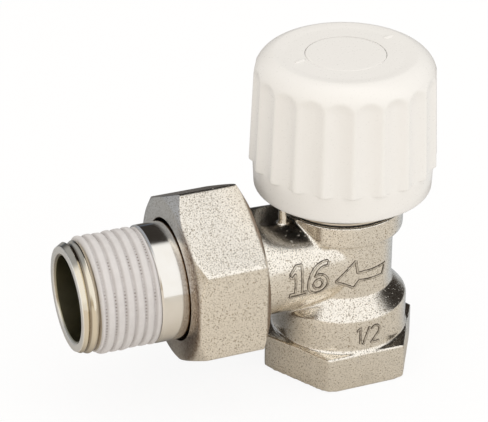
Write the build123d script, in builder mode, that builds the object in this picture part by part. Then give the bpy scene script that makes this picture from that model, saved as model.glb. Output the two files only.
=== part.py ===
from build123d import *
import os
from math import cos, hypot, radians

# Angled radiator valve, nominal bore 15 mm, with a fluted handwheel and a union tail.
# Millimetres. The origin is the centre of the inlet mouth, +Z runs up the spindle and
# the union arm points along -X.

# Distances of the angle pattern
outlet_height = 23.0          # inlet face to outlet axis
tail_reach = 53.0             # spindle axis to tail end
union_reach = 28.4            # spindle axis to the face of the union thread

# Clearances
thread_clearance = 0.06       # between a screw thread's plain crest cylinders
running_clearance = 0.05      # turning spindle in its bore
sliding_clearance = 0.15      # plug hexagon in its guide
seat_clearance = 0.1          # faces that meet without load
drive_clearance = 0.05        # handwheel socket round the spindle's square

# Body forging
inlet_flats = 26.0
inlet_hex_height = 7.2
inlet_corner_break = 0.4      # cone that breaks the lower hexagon corners
collar_radius = 12.45
collar_height = 13.9          # where the cone above it meets the collar's side
collar_edge = 0.2             # width of the rounded edge between them
collar_cone = 3.2             # height of the cone from collar to shank
shank_radius = 9.55
neck_radius = 11.3
neck_rise = 9.9               # outlet axis to the neck's top
neck_height = 4.5
neck_edge = 0.6
neck_root = 1.0               # concave radius under the neck rim
arm_radius = 10.1             # at the union; the arm tapers to the shank's radius
arm_flat = 9.3                # height of the flat along the arm's top, above its axis
stop_pin_radius = 0.78        # short pin on the arm beside the neck
stop_pin_x = -13.15
stop_pin_y = -3.4
stop_pin_root = 8.2           # its foot inside the arm's wall, above the arm's axis
stop_pin_gap = 1.0            # its top under the handwheel
union_thread_radius = 13.22   # G 3/4
union_thread_length = 7.0
union_thread_chamfer = 0.8

# Waterway and seats in the body
inlet_thread_radius = 9.3     # G 1/2, minor diameter
inlet_thread_depth = 12.0
inlet_mouth = 0.4             # chamfer of the mouth
throat_radius = 5.5
throat_cone = 1.9             # height of the cone from thread to throat
seat_drop = 6.5               # outlet axis to the seat
seat_rise = 0.5
seat_width = 1.0
chamber_radius = 7.7
port_radius = 4.6             # side port from chamber to arm
waterway_radius = 7.8         # arm and tail bore
port_depth = 13.0             # spindle axis to the end of the wide arm bore
bonnet_thread_radius = 8.8
bonnet_thread_depth = 4.9     # neck's top to the ledge under the bonnet

# Bonnet and its gasket
gasket_thickness = 0.3
gasket_inset = 0.45           # gasket edge inside the neck rim
bonnet_flange = 0.6
bonnet_rim_inset = 0.2
bonnet_edge = 0.15
bonnet_flats = 19.0
bonnet_hex_height = 4.7
sleeve_radius = 5.6
sleeve_length = 14.2          # above the flange
guide_flats = 10.4            # hexagon that guides the plug
guide_rise = 3.4              # its top above the flange

# Spindle and what it carries
spindle_radius = 3.0
spindle_thread_radius = 3.4
spindle_flange_radius = 4.9
spindle_flange = 1.8
square_flats = 4.6
ring_section = 0.5            # radius of an O-ring's section
ring_groove_width = 1.2
ring_rise = 3.8               # lower O-ring above the guide
ring_spacing = 3.5
washer_thickness = 0.4
washer_radius = 5.0
clip_thickness = 0.8
clip_groove = 0.6             # depth
clip_radius = 4.2
clip_gap = 3.0

# Plug and disc
plug_lift = 3.75              # travel from shut to open
plug_end_gap = 0.35           # spindle end to bore floor with the plug up
plug_stem_radius = 4.3
plug_stem_length = 4.5
plug_hex_length = 5.5
plug_bore_floor = 0.2         # above the carrier
carrier_radius = 6.4
carrier_thickness = 2.5
disc_radius = 6.7
disc_thickness = 2.0
disc_washer_radius = 3.4
disc_washer_thickness = 0.6
disc_screw_radius = 1.25
disc_screw_grip = 2.0         # thread length in the carrier
disc_screw_head_radius = 2.3
disc_screw_head = 1.4

# Handwheel
wheel_gap = 2.5               # bonnet flange to the skirt's foot
wheel_height = 25.95
skirt_radius = 16.4
skirt_height = 5.3            # plain band under the flutes
skirt_edge = 1.2              # width of its rounded lower edge
skirt_edge_height = 0.7
skirt_draft = 0.2             # radius lost towards the lower edge
ridge_radius = 17.1           # at the foot of the flutes
ridge_radius_top = 16.35
shoulder_drop = 4.05          # height of the domed shoulder
shoulder_width = 3.65
dish_radius = 11.4
dish_depth = 0.25
flute_count = 20
flute_radius = 4.6
flute_depth = 0.75
flute_end_drop = 0.45         # rounded upper end's centre, below the shoulder
flute_overcut = 1.2           # cutter's reach below the ridges
flute_angle = 9.0             # turn of the first flute from +X
wheel_wall = 2.2
wheel_crown = 3.0
hub_radius = 6.0
hub_gap = 0.65                # spindle's square to the hub's foot
rib_count = 6
rib_thickness = 1.2
rib_height = 6.0
screw_web = 1.4
screw_well_radius = 4.6
screw_radius = 1.45
screw_length = 8.0
screw_head_radius = 2.9
screw_head = 1.8
screw_head_edge = 0.6
screw_room = 0.9              # head to cap
screw_slot = 0.7
screw_washer_radius = 3.6
screw_washer = 0.6
cap_radius = 7.3
cap_thickness = 1.1
cap_clearance = 0.08
cap_edge = 0.25
cap_skirt = 0.7
cap_skirt_wall = 0.8

# Union: gasket, tailpiece, sealant and nut
union_gasket_thickness = 1.0
tail_collar_gap = 0.88        # collar inside the nut's bore
tail_collar = 1.8
tail_radius = 10.8
tail_thread_radius = 10.4775  # G 1/2, major diameter
tail_root_radius = 9.6
tail_thread_length = 14.3
tail_tip_radius = 9.5
tail_tip = 1.2                # length of the tapered tip
tail_bore_break = 0.5
bare_thread_radius = 10.15
bare_length = 3.3             # thread left bare at the tip
thread_pitch = 1.814
sealant_groove = 0.3          # depth of the grooves between the turns
sealant_crest = 0.6           # flat top of each ridge
nut_wall = 1.72               # bore to flat, which gives 30 across the flats
nut_lip = 2.4
nut_hole_gap = 0.3            # hole round the tail's shank
nut_length = 13.9
nut_hole_break = 0.5          # cone at the hole's edge
nut_cone_inset = 0.25         # the end cones start this far inside the flats
nut_front_cone = 1.95         # length of the end cone round the tail
nut_back_cone = 1.3           # and of the one towards the body
nut_angle = 2.0               # turn of its corners from upright

# Places worked out from the sizes above
arm_axis = Axis((0, 0, outlet_height), (1, 0, 0))
inlet_corner = inlet_flats / 2 / cos(radians(30))
shank_foot = collar_height + collar_cone
cone_slope = collar_cone / (collar_radius - shank_radius)
collar_edge_top = collar_height + collar_edge * cone_slope
collar_edge_foot = collar_height - hypot(collar_edge, collar_edge * cone_slope)
neck_top = outlet_height + neck_rise
neck_underside = neck_top - neck_height
seat_height = outlet_height - seat_drop
bonnet_thread_foot = neck_top - bonnet_thread_depth
flange_foot = neck_top + gasket_thickness
flange_top = flange_foot + bonnet_flange
bonnet_bore = spindle_radius + running_clearance
guide_top = flange_top + guide_rise
sleeve_top = flange_top + sleeve_length
spindle_flange_foot = guide_top - seat_clearance - spindle_flange
washer_foot = sleeve_top + running_clearance
clip_foot = washer_foot + washer_thickness
square_foot = clip_foot + clip_thickness + seat_clearance
lower_ring_height = guide_top + ring_rise
upper_ring_height = lower_ring_height + ring_spacing
disc_top = seat_height + disc_thickness
carrier_top = disc_top + carrier_thickness
plug_flats = guide_flats - 2 * sliding_clearance
plug_bore_foot = carrier_top + plug_bore_floor
plug_hex_foot = carrier_top + plug_stem_length
plug_top = plug_hex_foot + plug_hex_length
spindle_foot = plug_bore_foot + plug_lift + plug_end_gap
wheel_foot = flange_top + wheel_gap
stop_pin_foot = outlet_height + stop_pin_root
stop_pin_length = wheel_foot - stop_pin_gap - stop_pin_foot
flute_foot = wheel_foot + skirt_height
wheel_top = wheel_foot + wheel_height
shoulder_height = wheel_top - shoulder_drop
flute_end = shoulder_height - flute_end_drop
cap_seat = wheel_top - dish_depth - cap_thickness
screw_head_foot = cap_seat - screw_room - screw_head
screw_well_foot = screw_head_foot - screw_washer
spindle_top = screw_well_foot - screw_web - seat_clearance
hub_foot = square_foot + hub_gap
union_gasket_x = -union_reach - union_gasket_thickness
collar_x = union_gasket_x - tail_collar
lip_x = collar_x - seat_clearance
nut_x = lip_x - nut_lip
nut_bore_radius = union_thread_radius + thread_clearance
nut_apothem = nut_bore_radius + nut_wall
nut_corner = nut_apothem / cos(radians(30))
nut_chamfer_radius = nut_apothem - nut_cone_inset
nut_hole_radius = tail_radius + nut_hole_gap
tail_collar_radius = nut_bore_radius - tail_collar_gap
tail_thread_x = tail_thread_length - tail_reach
sealant_x = bare_length - tail_reach

os.makedirs("parts", exist_ok=True)


# Body: hot-pressed brass elbow with a spanner hexagon, collar, shank, neck and union arm
with BuildPart() as valve_body:
    with BuildSketch(Plane.XY):
        RegularPolygon(inlet_flats / 2, 6, major_radius=False)
    extrude(amount=inlet_hex_height)
    with BuildSketch(Plane.XZ):
        with BuildLine():
            Polyline(
                (0, 0),
                (inlet_corner - 2 * inlet_corner_break, 0),
                (inlet_corner, inlet_corner_break),
                (inlet_corner, inlet_hex_height),
                (0, inlet_hex_height),
                close=True,
            )
        make_face()
    revolve(axis=Axis.Z, mode=Mode.INTERSECT)
    with BuildSketch(Plane.XZ):
        with BuildLine():
            Polyline(
                (0, outlet_height),
                (0, outlet_height + shank_radius),
                (union_thread_length - union_reach, outlet_height + arm_radius),
                (union_thread_length - union_reach, outlet_height),
                close=True,
            )
        make_face()
    revolve(axis=arm_axis)
    with BuildSketch(Plane.YZ):
        with Locations((0, outlet_height + arm_flat)):
            Rectangle(2 * arm_radius, arm_radius, align=(Align.CENTER, Align.MIN))
    extrude(amount=-union_reach, mode=Mode.SUBTRACT)
    with BuildSketch(Plane.XZ):
        with BuildLine():
            Line((0, inlet_hex_height / 2), (collar_radius, inlet_hex_height / 2))
            Line((collar_radius, inlet_hex_height / 2), (collar_radius, collar_edge_foot))
            cone = Line((shank_radius, shank_foot), (collar_radius - collar_edge, collar_edge_top))
            TangentArc(cone @ 1, (collar_radius, collar_edge_foot), tangent=cone % 1)
            Line((shank_radius, shank_foot), (shank_radius, neck_underside - neck_root))
            root = TangentArc(
                (shank_radius, neck_underside - neck_root),
                (shank_radius + neck_root, neck_underside),
                tangent=(0, 1),
            )
            Line(root @ 1, (neck_radius - neck_edge, neck_underside))
            TangentArc(
                (neck_radius - neck_edge, neck_underside),
                (neck_radius, neck_underside + neck_edge),
                tangent=(1, 0),
            )
            Polyline(
                (neck_radius, neck_underside + neck_edge),
                (neck_radius, neck_top),
                (0, neck_top),
                (0, inlet_hex_height / 2),
            )
        make_face()
    revolve(axis=Axis.Z)
    with BuildSketch(Plane.XZ):
        with BuildLine():
            Polyline(
                (-union_reach, outlet_height),
                (-union_reach, outlet_height + union_thread_radius - union_thread_chamfer),
                (union_thread_chamfer - union_reach, outlet_height + union_thread_radius),
                (union_thread_length - union_reach, outlet_height + union_thread_radius),
                (union_thread_length - union_reach, outlet_height),
                close=True,
            )
        make_face()
    revolve(axis=arm_axis)
    with Locations((stop_pin_x, stop_pin_y, stop_pin_foot)):
        Cylinder(stop_pin_radius, stop_pin_length, align=(Align.CENTER, Align.CENTER, Align.MIN))
    # Inlet thread, throat, raised seat, chamber and bonnet thread on the spindle axis
    with BuildSketch(Plane.XZ):
        with BuildLine():
            Polyline(
                (0, 0),
                (inlet_thread_radius + inlet_mouth, 0),
                (inlet_thread_radius, inlet_mouth),
                (inlet_thread_radius, inlet_thread_depth),
                (throat_radius, inlet_thread_depth + throat_cone),
                (throat_radius, seat_height),
                (throat_radius + seat_width, seat_height),
                (throat_radius + seat_width + seat_rise, seat_height - seat_rise),
                (chamber_radius, seat_height - seat_rise),
                (chamber_radius, bonnet_thread_foot),
                (bonnet_thread_radius, bonnet_thread_foot),
                (bonnet_thread_radius, neck_top),
                (0, neck_top),
                close=True,
            )
        make_face()
    revolve(axis=Axis.Z, mode=Mode.SUBTRACT)
    # Side port and arm bore
    with BuildSketch(Plane.XZ):
        with BuildLine():
            Polyline(
                (0, outlet_height),
                (0, outlet_height + port_radius),
                (waterway_radius - port_radius - port_depth, outlet_height + port_radius),
                (-port_depth, outlet_height + waterway_radius),
                (-union_reach, outlet_height + waterway_radius),
                (-union_reach, outlet_height),
                close=True,
            )
        make_face()
    revolve(axis=arm_axis, mode=Mode.SUBTRACT)
valve_body.part.label = "valve_body"
export_step(valve_body.part, "parts/valve_body.step")


# Gasket under the bonnet's flange
with BuildPart() as bonnet_gasket:
    with BuildSketch(Plane.XY.offset(neck_top)):
        Circle(neck_radius - gasket_inset)
        Circle(bonnet_thread_radius, mode=Mode.SUBTRACT)
    extrude(amount=gasket_thickness)
bonnet_gasket.part.label = "bonnet_gasket"
export_step(bonnet_gasket.part, "parts/bonnet_gasket.step")


# Bonnet: turned brass headwork with a flange, a spanner hexagon and the spindle sleeve
with BuildPart() as bonnet:
    with BuildSketch(Plane.XZ):
        with BuildLine():
            Polyline(
                (0, bonnet_thread_foot + seat_clearance),
                (bonnet_thread_radius - thread_clearance, bonnet_thread_foot + seat_clearance),
                (bonnet_thread_radius - thread_clearance, flange_foot),
                (neck_radius - bonnet_rim_inset - bonnet_edge, flange_foot),
                (neck_radius - bonnet_rim_inset, flange_foot + bonnet_edge),
                (neck_radius - bonnet_rim_inset, flange_top - bonnet_edge),
                (neck_radius - bonnet_rim_inset - bonnet_edge, flange_top),
                (sleeve_radius, flange_top),
                (sleeve_radius, sleeve_top),
                (0, sleeve_top),
                close=True,
            )
        make_face()
    revolve(axis=Axis.Z)
    with BuildSketch(Plane.XY.offset(flange_top)):
        RegularPolygon(bonnet_flats / 2, 6, major_radius=False)
    extrude(amount=bonnet_hex_height)
    with BuildSketch(Plane.XY.offset(bonnet_thread_foot)):
        RegularPolygon(guide_flats / 2, 6, major_radius=False)
    extrude(amount=guide_top - bonnet_thread_foot, mode=Mode.SUBTRACT)
    with BuildSketch(Plane.XY.offset(guide_top)):
        Circle(bonnet_bore)
    extrude(amount=sleeve_top - guide_top, mode=Mode.SUBTRACT)
bonnet.part.label = "bonnet"
export_step(bonnet.part, "parts/bonnet.step")


# Spindle: it turns without rising and lifts the plug on its lower thread
with BuildPart() as spindle:
    with BuildSketch(Plane.XZ):
        with BuildLine():
            Polyline(
                (0, spindle_foot),
                (spindle_thread_radius, spindle_foot),
                (spindle_thread_radius, spindle_flange_foot),
                (spindle_flange_radius, spindle_flange_foot),
                (spindle_flange_radius, spindle_flange_foot + spindle_flange),
                (spindle_radius, spindle_flange_foot + spindle_flange),
                (spindle_radius, spindle_top),
                (0, spindle_top),
                close=True,
            )
        make_face()
    revolve(axis=Axis.Z)
    with BuildSketch(Plane.XZ):
        for ring_height in (lower_ring_height, upper_ring_height):
            with Locations((spindle_radius, ring_height)):
                Rectangle(4 * ring_section, ring_groove_width)
        with Locations((spindle_radius, clip_foot + clip_thickness / 2)):
            Rectangle(2 * clip_groove, clip_thickness)
    revolve(axis=Axis.Z, mode=Mode.SUBTRACT)
    with BuildSketch(Plane.XY.offset(square_foot)):
        Circle(spindle_radius + seat_clearance)
        Rectangle(square_flats, square_flats, mode=Mode.SUBTRACT)
    extrude(amount=spindle_top - square_foot, mode=Mode.SUBTRACT)
    with BuildSketch(Plane.XY.offset(spindle_top)):
        Circle(screw_radius + thread_clearance)
    extrude(amount=-screw_length, mode=Mode.SUBTRACT)
spindle.part.label = "spindle"
export_step(spindle.part, "parts/spindle.step")


# O-rings that seal the spindle in the sleeve
for ring_name, ring_height in (("lower", lower_ring_height), ("upper", upper_ring_height)):
    with BuildPart() as spindle_ring:
        with Locations((0, 0, ring_height)):
            Torus(spindle_radius - ring_section, ring_section)
    spindle_ring.part.label = f"spindle_o_ring_{ring_name}"
    export_step(spindle_ring.part, f"parts/spindle_o_ring_{ring_name}.step")


# Thrust washer and spring clip that hold the spindle down in the bonnet
with BuildPart() as thrust_washer:
    with BuildSketch(Plane.XY.offset(washer_foot)):
        Circle(washer_radius)
        Circle(bonnet_bore, mode=Mode.SUBTRACT)
    extrude(amount=washer_thickness)
thrust_washer.part.label = "thrust_washer"
export_step(thrust_washer.part, "parts/thrust_washer.step")

with BuildPart() as spindle_clip:
    with BuildSketch(Plane.XY.offset(clip_foot)):
        Circle(clip_radius)
        Circle(spindle_radius - clip_groove, mode=Mode.SUBTRACT)
        Rectangle(clip_radius, clip_gap, align=(Align.MIN, Align.CENTER), mode=Mode.SUBTRACT)
    extrude(amount=clip_thickness)
spindle_clip.part.label = "spindle_clip"
export_step(spindle_clip.part, "parts/spindle_clip.step")


# Plug: disc carrier on a hexagon nut that the bonnet keeps from turning
with BuildPart() as plug:
    with BuildSketch(Plane.XY.offset(disc_top)):
        Circle(carrier_radius)
    extrude(amount=carrier_thickness)
    with BuildSketch(Plane.XY.offset(carrier_top)):
        Circle(plug_stem_radius)
    extrude(amount=plug_hex_foot - carrier_top)
    with BuildSketch(Plane.XY.offset(plug_hex_foot)):
        RegularPolygon(plug_flats / 2, 6, major_radius=False)
    extrude(amount=plug_top - plug_hex_foot)
    with BuildSketch(Plane.XY.offset(plug_top)):
        Circle(spindle_thread_radius + thread_clearance)
    extrude(amount=plug_bore_foot - plug_top, mode=Mode.SUBTRACT)
    with BuildSketch(Plane.XY.offset(disc_top)):
        Circle(disc_screw_radius + thread_clearance)
    extrude(amount=disc_screw_grip, mode=Mode.SUBTRACT)
plug.part.label = "plug"
export_step(plug.part, "parts/plug.step")


# Rubber disc, its washer and the screw that holds both on the carrier
with BuildPart() as disc_seal:
    with BuildSketch(Plane.XY.offset(seat_height)):
        Circle(disc_radius)
        Circle(disc_screw_radius + thread_clearance, mode=Mode.SUBTRACT)
    extrude(amount=disc_thickness)
disc_seal.part.label = "disc_seal"
export_step(disc_seal.part, "parts/disc_seal.step")

with BuildPart() as disc_washer:
    with BuildSketch(Plane.XY.offset(seat_height)):
        Circle(disc_washer_radius)
        Circle(disc_screw_radius + thread_clearance, mode=Mode.SUBTRACT)
    extrude(amount=-disc_washer_thickness)
disc_washer.part.label = "disc_washer"
export_step(disc_washer.part, "parts/disc_washer.step")

with BuildPart() as disc_screw:
    with BuildSketch(Plane.XY.offset(disc_top + disc_screw_grip)):
        Circle(disc_screw_radius)
    extrude(amount=seat_height - disc_washer_thickness - disc_top - disc_screw_grip)
    with BuildSketch(Plane.XY.offset(seat_height - disc_washer_thickness)):
        Circle(disc_screw_head_radius)
    extrude(amount=-disc_screw_head)
    with BuildSketch(Plane.XY.offset(seat_height - disc_washer_thickness - disc_screw_head)):
        Rectangle(2 * disc_screw_head_radius, screw_slot)
    extrude(amount=disc_screw_head / 2, mode=Mode.SUBTRACT)
disc_screw.part.label = "disc_screw"
export_step(disc_screw.part, "parts/disc_screw.step")


# Cutter for one flute: a tilted round bar that follows the ridge taper, with a ball end
flute_lean = Plane(
    origin=(ridge_radius - flute_depth + flute_radius, 0, flute_foot),
    x_dir=(0, 1, 0),
    z_dir=(ridge_radius_top - ridge_radius, 0, shoulder_height - flute_foot),
)
with BuildPart() as flute_cutter:
    with BuildSketch(flute_lean):
        Circle(flute_radius)
    extrude(amount=flute_end - flute_foot)
    extrude(flute_cutter.faces().sort_by(Axis.Z)[0], amount=flute_overcut)
    with Locations(flute_lean.offset(flute_end - flute_foot)):
        Sphere(flute_radius)


# Handwheel: one plastic moulding with a plain skirt, fluted grip, domed shoulder and inner hub
with BuildPart() as handwheel:
    with BuildSketch(Plane.XZ):
        with BuildLine():
            Line((0, wheel_foot), (skirt_radius - skirt_draft - skirt_edge, wheel_foot))
            TangentArc(
                (skirt_radius - skirt_draft - skirt_edge, wheel_foot),
                (skirt_radius - skirt_draft, wheel_foot + skirt_edge_height),
                tangent=(1, 0),
            )
            Polyline(
                (skirt_radius - skirt_draft, wheel_foot + skirt_edge_height),
                (skirt_radius, flute_foot),
                (ridge_radius, flute_foot),
                (ridge_radius_top, shoulder_height),
            )
            TangentArc(
                (ridge_radius_top, shoulder_height),
                (ridge_radius_top - shoulder_width, wheel_top),
                tangent=(ridge_radius_top - ridge_radius, shoulder_height - flute_foot),
            )
            Polyline((ridge_radius_top - shoulder_width, wheel_top), (0, wheel_top), (0, wheel_foot))
        make_face()
    revolve(axis=Axis.Z)
    with PolarLocations(0, flute_count, start_angle=flute_angle):
        add(flute_cutter.part, mode=Mode.SUBTRACT)
    # Hollow round the hub, with stiffening ribs under the crown
    with BuildSketch(Plane.XZ):
        with BuildLine():
            Polyline(
                (0, wheel_foot),
                (skirt_radius - wheel_wall, wheel_foot),
                (ridge_radius_top - flute_depth - wheel_wall, shoulder_height - wheel_crown),
                (ridge_radius_top - shoulder_width, wheel_top - wheel_crown),
                (hub_radius, wheel_top - wheel_crown),
                (hub_radius, hub_foot),
                (0, hub_foot),
                close=True,
            )
        make_face()
    revolve(axis=Axis.Z, mode=Mode.SUBTRACT)
    with BuildSketch(Plane.XY.offset(wheel_top - wheel_crown)):
        with PolarLocations(0, rib_count):
            Rectangle(skirt_radius - wheel_wall, rib_thickness, align=(Align.MIN, Align.CENTER))
        Circle(hub_radius - wheel_wall, mode=Mode.SUBTRACT)
    extrude(amount=-rib_height)
    # Square socket, screw hole and well, then the cap's seat and the shallow dish round it
    with BuildSketch(Plane.XY.offset(hub_foot)):
        Rectangle(square_flats + 2 * drive_clearance, square_flats + 2 * drive_clearance)
    extrude(amount=spindle_top + seat_clearance - hub_foot, mode=Mode.SUBTRACT)
    with BuildSketch(Plane.XZ):
        with BuildLine():
            Polyline(
                (0, hub_foot),
                (screw_radius + drive_clearance, hub_foot),
                (screw_radius + drive_clearance, screw_well_foot),
                (screw_well_radius, screw_well_foot),
                (screw_well_radius, cap_seat),
                (cap_radius, cap_seat),
                (cap_radius, wheel_top - dish_depth),
                (dish_radius, wheel_top - dish_depth),
                (dish_radius, wheel_top),
                (0, wheel_top),
                close=True,
            )
        make_face()
    revolve(axis=Axis.Z, mode=Mode.SUBTRACT)
handwheel.part.label = "handwheel"
export_step(handwheel.part, "parts/handwheel.step")


# Washer and slotted screw that hold the handwheel on the spindle
with BuildPart() as wheel_washer:
    with BuildSketch(Plane.XY.offset(screw_well_foot)):
        Circle(screw_washer_radius)
        Circle(screw_radius + drive_clearance, mode=Mode.SUBTRACT)
    extrude(amount=screw_washer)
wheel_washer.part.label = "wheel_washer"
export_step(wheel_washer.part, "parts/wheel_washer.step")

with BuildPart() as wheel_screw:
    with BuildSketch(Plane.XY.offset(screw_head_foot)):
        Circle(screw_radius)
    extrude(amount=-screw_length)
    with BuildSketch(Plane.XY.offset(screw_head_foot)):
        Circle(screw_head_radius)
    extrude(amount=screw_head)
    fillet(wheel_screw.edges().group_by(Axis.Z)[-1], screw_head_edge)
    with BuildSketch(Plane.XY.offset(screw_head_foot + screw_head)):
        Rectangle(2 * screw_head_radius, screw_slot)
    extrude(amount=-screw_head / 2, mode=Mode.SUBTRACT)
wheel_screw.part.label = "wheel_screw"
export_step(wheel_screw.part, "parts/wheel_screw.step")


# Cap that snaps over the screw and closes the handwheel's top
with BuildPart() as cap_disc:
    with BuildSketch(Plane.XY.offset(cap_seat)):
        Circle(cap_radius - cap_clearance)
    extrude(amount=cap_thickness)
    fillet(cap_disc.edges().group_by(Axis.Z)[-1], cap_edge)
    with BuildSketch(Plane.XY.offset(cap_seat)):
        Circle(screw_well_radius - cap_clearance)
        Circle(screw_well_radius - cap_clearance - cap_skirt_wall, mode=Mode.SUBTRACT)
    extrude(amount=-cap_skirt)
cap_disc.part.label = "cap_disc"
export_step(cap_disc.part, "parts/cap_disc.step")


# Flat gasket between the tailpiece's collar and the body
with BuildPart() as union_gasket:
    with BuildSketch(Plane.YZ.offset(-union_reach)):
        with Locations((0, outlet_height)):
            Circle(tail_collar_radius)
            Circle(waterway_radius, mode=Mode.SUBTRACT)
    extrude(amount=-union_gasket_thickness)
union_gasket.part.label = "union_gasket"
export_step(union_gasket.part, "parts/union_gasket.step")


# Tailpiece: turned tube with a collar for the nut, a plain shank and a threaded end
bare_turns = int((bare_length - tail_tip) / thread_pitch)
with BuildPart() as tailpiece:
    with BuildSketch(Plane.XZ):
        with BuildLine():
            Polyline(
                (union_gasket_x, outlet_height + waterway_radius),
                (union_gasket_x, outlet_height + tail_collar_radius),
                (collar_x, outlet_height + tail_collar_radius),
                (collar_x, outlet_height + tail_radius),
                (tail_thread_x, outlet_height + tail_radius),
                (tail_thread_x, outlet_height + tail_root_radius),
                (tail_tip - tail_reach, outlet_height + tail_root_radius),
                (-tail_reach, outlet_height + tail_tip_radius),
                (-tail_reach, outlet_height + waterway_radius + tail_bore_break),
                (tail_bore_break - tail_reach, outlet_height + waterway_radius),
                close=True,
            )
        make_face()
        # The turns that stay bare beyond the sealant
        for turn in range(bare_turns):
            turn_x = sealant_x - (turn + 1) * thread_pitch
            with BuildLine():
                Polyline(
                    (turn_x, outlet_height + tail_root_radius),
                    (turn_x + thread_pitch / 2, outlet_height + bare_thread_radius),
                    (turn_x + thread_pitch, outlet_height + tail_root_radius),
                    (turn_x + thread_pitch / 2, outlet_height + waterway_radius + tail_bore_break),
                    close=True,
                )
            make_face()
    revolve(axis=arm_axis)
tailpiece.part.label = "tailpiece"
export_step(tailpiece.part, "parts/tailpiece.step")


# Thread sealant: a plastic coat that fills the thread and shows its turns as round ridges
sealant_turns = round((tail_thread_x - sealant_x) / thread_pitch)
turn_length = (tail_thread_x - sealant_x) / sealant_turns
crest_z = outlet_height + tail_thread_radius
groove_z = crest_z - sealant_groove
with BuildPart() as thread_sealant:
    with BuildSketch(Plane.XZ):
        with BuildLine():
            Polyline(
                (sealant_x, groove_z),
                (sealant_x, outlet_height + tail_root_radius),
                (tail_thread_x, outlet_height + tail_root_radius),
                (tail_thread_x, groove_z),
            )
            for turn in range(sealant_turns):
                turn_x = sealant_x + turn * turn_length
                crest_x = turn_x + (turn_length - sealant_crest) / 2
                TangentArc((crest_x, crest_z), (turn_x, groove_z), tangent=(-1, 0))
                Line((crest_x, crest_z), (crest_x + sealant_crest, crest_z))
                TangentArc(
                    (crest_x + sealant_crest, crest_z), (turn_x + turn_length, groove_z), tangent=(1, 0)
                )
        make_face()
    revolve(axis=arm_axis)
thread_sealant.part.label = "thread_sealant"
export_step(thread_sealant.part, "parts/thread_sealant.step")


# Union nut: hexagon with coned ends, a lip behind the tailpiece's collar and a plain bore
with BuildPart() as union_nut:
    with BuildSketch(Plane.YZ.offset(nut_x)):
        with Locations((0, outlet_height)):
            RegularPolygon(nut_apothem, 6, major_radius=False, rotation=30 + nut_angle)
    extrude(amount=nut_length)
    with BuildSketch(Plane.XZ):
        with BuildLine():
            Polyline(
                (nut_x, outlet_height),
                (nut_x, outlet_height + nut_chamfer_radius),
                (nut_x + nut_front_cone, outlet_height + nut_corner),
                (nut_x + nut_length - nut_back_cone, outlet_height + nut_corner),
                (nut_x + nut_length, outlet_height + nut_chamfer_radius),
                (nut_x + nut_length, outlet_height),
                close=True,
            )
        make_face()
    revolve(axis=arm_axis, mode=Mode.INTERSECT)
    with BuildSketch(Plane.XZ):
        with BuildLine():
            Polyline(
                (nut_x, outlet_height),
                (nut_x, outlet_height + nut_hole_radius + nut_hole_break),
                (nut_x + nut_hole_break, outlet_height + nut_hole_radius),
                (lip_x, outlet_height + nut_hole_radius),
                (lip_x, outlet_height + nut_bore_radius),
                (nut_x + nut_length, outlet_height + nut_bore_radius),
                (nut_x + nut_length, outlet_height),
                close=True,
            )
        make_face()
    revolve(axis=arm_axis, mode=Mode.SUBTRACT)
union_nut.part.label = "union_nut"
export_step(union_nut.part, "parts/union_nut.step")
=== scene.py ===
import bmesh
import bpy
import numpy as np
from mathutils import Matrix, Vector


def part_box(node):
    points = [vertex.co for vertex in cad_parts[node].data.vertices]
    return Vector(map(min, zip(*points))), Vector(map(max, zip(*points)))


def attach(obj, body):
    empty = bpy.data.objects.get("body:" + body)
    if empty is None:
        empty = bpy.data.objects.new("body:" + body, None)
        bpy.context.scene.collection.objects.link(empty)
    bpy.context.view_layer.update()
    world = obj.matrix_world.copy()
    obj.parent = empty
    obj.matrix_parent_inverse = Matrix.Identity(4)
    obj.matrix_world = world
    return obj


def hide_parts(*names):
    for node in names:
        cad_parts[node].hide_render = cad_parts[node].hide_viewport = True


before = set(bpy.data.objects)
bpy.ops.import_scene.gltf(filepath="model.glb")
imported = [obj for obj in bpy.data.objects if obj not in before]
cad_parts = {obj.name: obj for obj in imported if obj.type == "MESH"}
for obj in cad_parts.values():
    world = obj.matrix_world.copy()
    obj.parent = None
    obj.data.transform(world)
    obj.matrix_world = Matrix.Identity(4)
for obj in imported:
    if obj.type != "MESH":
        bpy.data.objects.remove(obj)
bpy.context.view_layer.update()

# Body: a brass elbow pressed hot in a die, shot-blasted and nickel-plated. The solid is remeshed
# finely and relaxed a little, which takes the knife edge off its corners and roots.
mm = 0.001
nut_low, nut_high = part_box("union_nut")
arm_z = (nut_low.z + nut_high.z) / 2 / mm
body_voxel = 0.33
body_passes = 1
join_distance = 1e-7


def merged_copy(node):
    """A copy of a node's mesh with its loose triangles joined at their corners."""
    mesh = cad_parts[node].data.copy()
    shell = bmesh.new()
    shell.from_mesh(mesh)
    bmesh.ops.remove_doubles(shell, verts=shell.verts, dist=join_distance)
    shell.to_mesh(mesh)
    shell.free()
    return mesh


def add_object(name, mesh):
    """An object of that mesh, in the scene, at the origin."""
    made = bpy.data.objects.new(name, mesh)
    bpy.context.scene.collection.objects.link(made)
    return made


def corners_of(mesh):
    """The mesh's corners as an array of points in millimetres."""
    flat = np.empty(3 * len(mesh.vertices))
    mesh.vertices.foreach_get("co", flat)
    return flat.reshape(-1, 3) / mm


def relaxed(points, ends, passes):
    """Each pass moves a point half the way to the mean of its neighbours along the edges."""
    count = np.bincount(ends.ravel(), minlength=len(points))[:, None]
    for _ in range(passes):
        near = np.stack(
            [
                np.bincount(ends[:, 0], points[ends[:, 1], axis], len(points))
                + np.bincount(ends[:, 1], points[ends[:, 0], axis], len(points))
                for axis in range(3)
            ],
            1,
        )
        points = (points + near / count) / 2
    return points


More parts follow.
